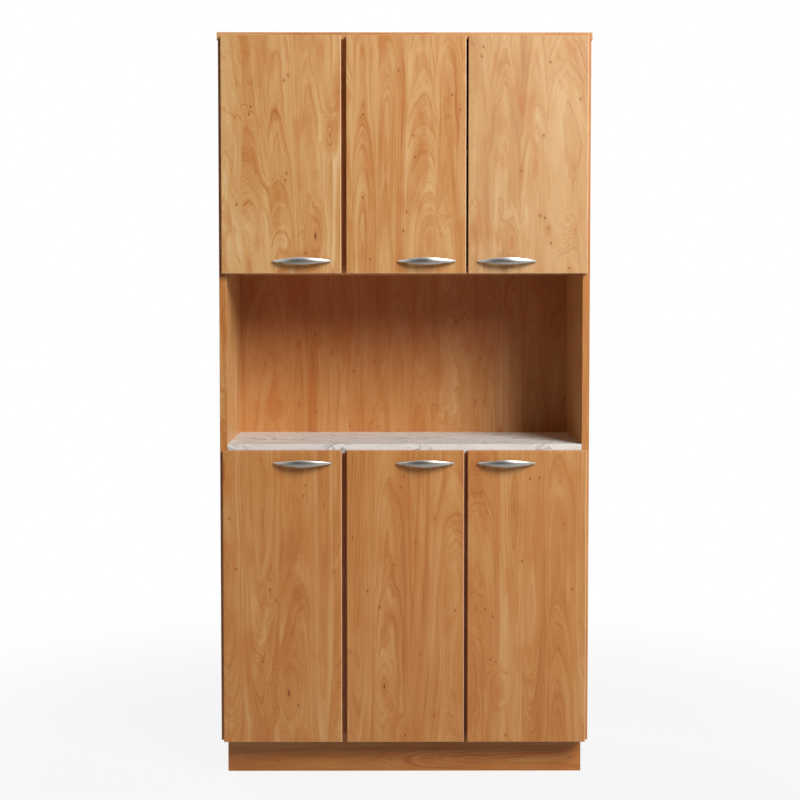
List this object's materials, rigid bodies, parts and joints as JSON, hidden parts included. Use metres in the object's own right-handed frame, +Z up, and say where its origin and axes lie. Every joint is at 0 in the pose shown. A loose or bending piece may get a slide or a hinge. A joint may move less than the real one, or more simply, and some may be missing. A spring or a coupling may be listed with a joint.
{
  "type": "kitchen cabinet",
  "caption": "Tall free-standing kitchen cabinet with hinged slab doors above and below an open niche with a worktop, bow handles and a recessed plinth.",
  "frame": {"origin": "middle of the footprint (width and whole depth with the handles) at floor level", "axes": "+Z up, the doors face -Y, +X to the right when seen from the front"},
  "size_m": [0.905, 0.389, 1.815],
  "materials": {
    "wood_front": "satin wood-decor foil, upright grain",
    "wood_carcass": "satin wood-decor melamine on particle board",
    "back_board": "matt hardboard",
    "worktop_laminate": "satin laminate with a pale marble pattern",
    "satin_nickel": "satin nickel",
    "hinge_steel": "nickel-plated pressed steel",
    "zinc_fitting": "zinc-plated",
    "beech": "plain beech",
    "bumper_pad": "soft pad"
  },
  "bodies": {
    "root": {"left_side": "wood_carcass", "right_side": "wood_carcass", "top_panel": "wood_carcass", "upper_floor": "wood_carcass", "worktop": "worktop_laminate", "bottom_panel": "wood_carcass", "upper_divider": "wood_carcass", "lower_divider": "wood_carcass", "lower_right_divider": "wood_carcass", "upper_back_panel": "back_board", "niche_back_panel": "wood_carcass", "lower_back_panel": "back_board", "back_panel_nails": "zinc_fitting", "plinth_front": "wood_carcass", "plinth_left": "wood_carcass", "plinth_right": "wood_carcass", "plinth_back": "wood_carcass", "plinth_corner_blocks": "beech", "plinth_screws": "zinc_fitting", "upper_left_shelf": "wood_carcass", "upper_right_shelf": "wood_carcass", "lower_left_shelf": "wood_carcass", "lower_middle_shelf": "wood_carcass", "lower_right_shelf": "wood_carcass", "shelf_pins": "zinc_fitting", "hinge_arms": "hinge_steel", "hinge_plates": "hinge_steel", "hinge_pins": "hinge_steel", "hinge_plate_screws": "zinc_fitting", "hinge_arm_screws": "zinc_fitting", "cam_locks": "zinc_fitting", "cam_bolts": "zinc_fitting", "dowels": "beech", "wall_brackets": "zinc_fitting", "wall_bracket_screws": "zinc_fitting", "door_bumpers": "bumper_pad"},
    "upper_left_door": {"upper_left_door": "wood_front", "upper_left_door_handle": "satin_nickel", "upper_left_door_hinge_cups": "hinge_steel", "upper_left_door_screws": "zinc_fitting"},
    "upper_middle_door": {"upper_middle_door": "wood_front", "upper_middle_door_handle": "satin_nickel", "upper_middle_door_hinge_cups": "hinge_steel", "upper_middle_door_screws": "zinc_fitting"},
    "upper_right_door": {"upper_right_door": "wood_front", "upper_right_door_handle": "satin_nickel", "upper_right_door_hinge_cups": "hinge_steel", "upper_right_door_screws": "zinc_fitting"},
    "lower_left_door": {"lower_left_door": "wood_front", "lower_left_door_handle": "satin_nickel", "lower_left_door_hinge_cups": "hinge_steel", "lower_left_door_screws": "zinc_fitting"},
    "lower_middle_door": {"lower_middle_door": "wood_front", "lower_middle_door_handle": "satin_nickel", "lower_middle_door_hinge_cups": "hinge_steel", "lower_middle_door_screws": "zinc_fitting"},
    "lower_right_door": {"lower_right_door": "wood_front", "lower_right_door_handle": "satin_nickel", "lower_right_door_hinge_cups": "hinge_steel", "lower_right_door_screws": "zinc_fitting"}
  },
  "joints": [
    {"name": "upper_left_door_swing", "type": "hinge", "parent": "root", "child": "upper_left_door", "pos_m": [-0.43498, -0.16001, 1.52], "axis": [0, 0, -1], "range_deg": [0, 95]},
    {"name": "upper_middle_door_swing", "type": "hinge", "parent": "root", "child": "upper_middle_door", "pos_m": [-0.13398, -0.16001, 1.52], "axis": [0, 0, -1], "range_deg": [0, 95]},
    {"name": "upper_right_door_swing", "type": "hinge", "parent": "root", "child": "upper_right_door", "pos_m": [0.43498, -0.16001, 1.52], "axis": [0, 0, 1], "range_deg": [0, 95]},
    {"name": "lower_left_door_swing", "type": "hinge", "parent": "root", "child": "lower_left_door", "pos_m": [-0.43498, -0.16001, 0.448], "axis": [0, 0, -1], "range_deg": [0, 95]},
    {"name": "lower_middle_door_swing", "type": "hinge", "parent": "root", "child": "lower_middle_door", "pos_m": [-0.13398, -0.16001, 0.448], "axis": [0, 0, -1], "range_deg": [0, 95]},
    {"name": "lower_right_door_swing", "type": "hinge", "parent": "root", "child": "lower_right_door", "pos_m": [0.43498, -0.16001, 0.448], "axis": [0, 0, 1], "range_deg": [0, 95]}
  ]
}
